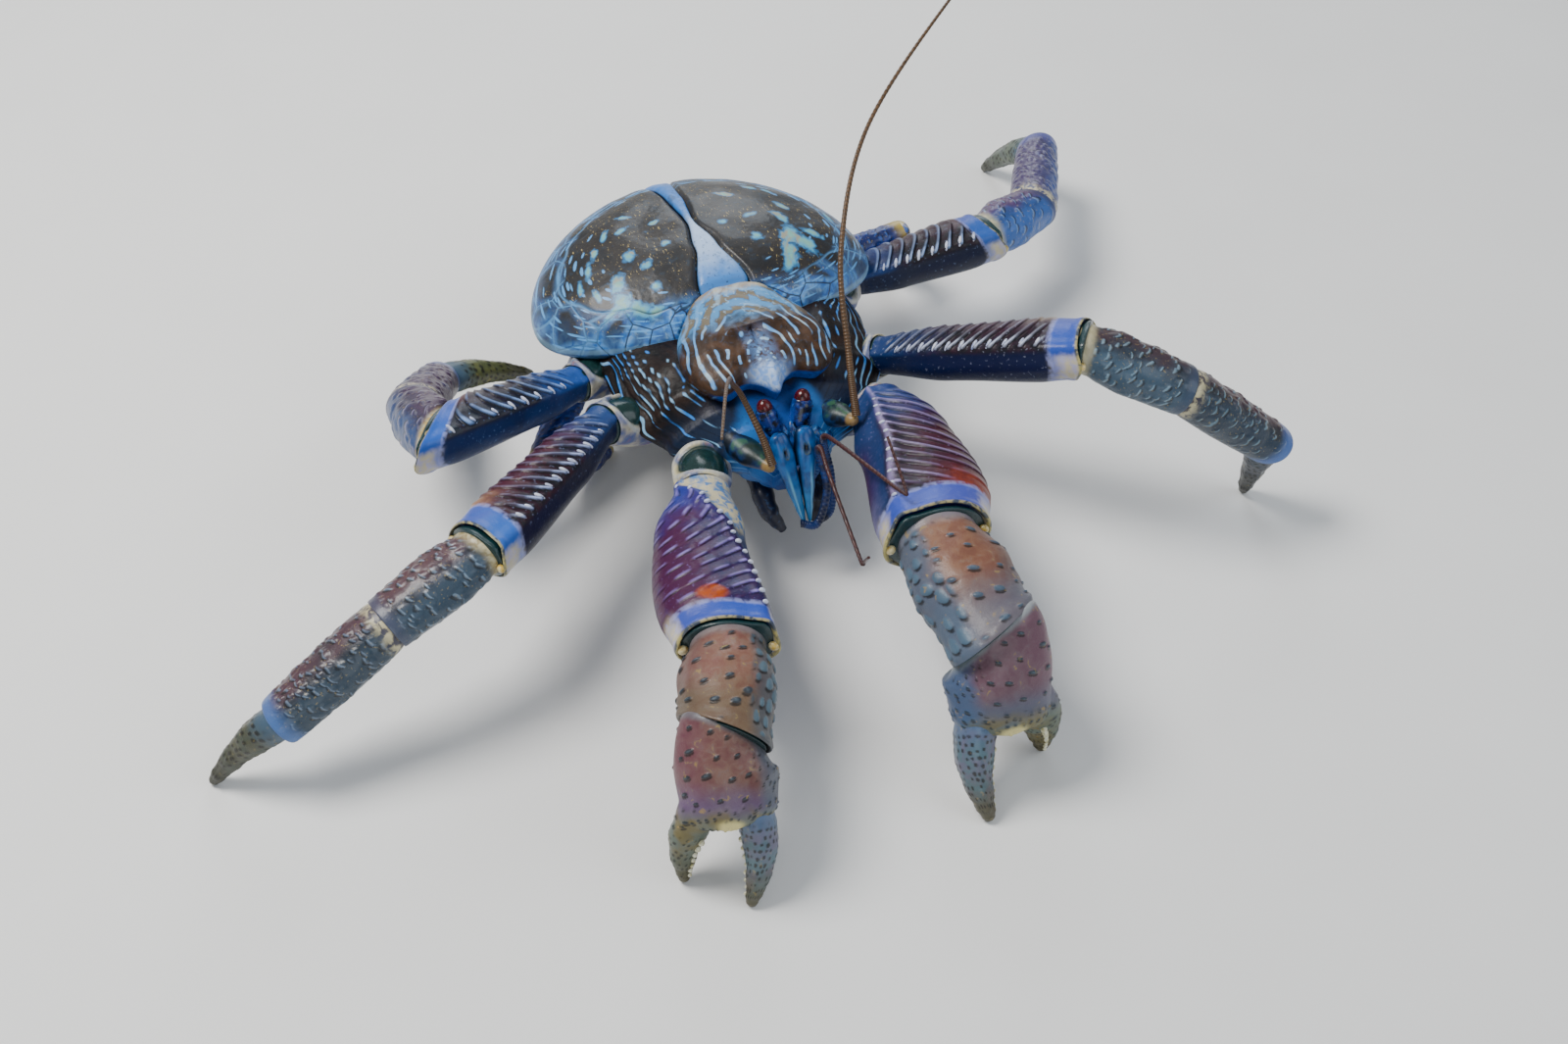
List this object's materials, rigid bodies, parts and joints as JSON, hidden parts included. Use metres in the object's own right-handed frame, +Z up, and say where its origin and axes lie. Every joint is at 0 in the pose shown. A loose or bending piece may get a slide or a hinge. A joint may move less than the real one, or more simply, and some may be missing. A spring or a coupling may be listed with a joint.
{
  "type": "coconut crab",
  "caption": "Life-size still model of a coconut crab standing with its claws reaching forward and its feelers raised.",
  "frame": {"origin": "on the floor, under the middle of the box round the whole animal", "axes": "+Z up; the crab faces -Y, and its left side is +X"},
  "size_m": [0.3685, 0.3015, 0.1243],
  "materials": {
    "carapace": "glossy shell, dark slate with blue and cream markings",
    "shield": "satin shell, marbled brown and pale blue",
    "flank": "satin shell, near black with pale blue lines",
    "soft": "leathery skin, matte",
    "limb": "glossy shell, maroon and blue-violet with raised terraces",
    "base": "satin shell, cream with blue and dark green",
    "claw": "satin shell, rose brown with slate-blue tubercles",
    "finger": "satin shell, olive to pale blue with dark dots",
    "eye": "high gloss",
    "blade": "glossy shell, azure",
    "feeler": "fine rings, matte"
  },
  "bodies": {
    "root": {"thorax": "flank", "gastric_shield": "shield", "cardiac_plate": "carapace", "branchial_right": "carapace", "branchial_left": "carapace", "abdomen": "soft", "tergite_1": "carapace", "tergite_2": "carapace", "tergite_3": "carapace", "tergite_4": "carapace", "telson": "carapace", "eye_right": "eye", "eye_left": "eye", "antennule_base_right": "blade", "antennule_base_left": "blade", "antennule_right": "feeler", "antennule_left": "feeler", "antenna_base_right": "blade", "antenna_base_left": "blade", "antenna_right": "feeler", "antenna_left": "feeler", "maxilliped_right": "base", "maxilliped_left": "base", "claw_right_base": "base", "claw_right_merus": "limb", "claw_right_carpus": "claw", "claw_right_palm": "claw", "claw_right_dactyl": "finger", "claw_left_base": "base", "claw_left_merus": "limb", "claw_left_carpus": "claw", "claw_left_palm": "claw", "claw_left_dactyl": "finger", "second_right_base": "base", "second_right_merus": "limb", "second_right_carpus": "limb", "second_right_propodus": "limb", "second_right_dactyl": "finger", "second_left_base": "base", "second_left_merus": "limb", "second_left_carpus": "limb", "second_left_propodus": "limb", "second_left_dactyl": "finger", "third_right_base": "base", "third_right_merus": "limb", "third_right_carpus": "limb", "third_right_propodus": "limb", "third_right_dactyl": "finger", "third_left_base": "base", "third_left_merus": "limb", "third_left_carpus": "limb", "third_left_propodus": "limb", "third_left_dactyl": "finger", "fourth_right_upper": "limb", "fourth_right_shin": "limb", "fourth_right_pincer": "limb", "fourth_left_upper": "limb", "fourth_left_shin": "limb", "fourth_left_pincer": "limb"}
  },
  "joints": []
}
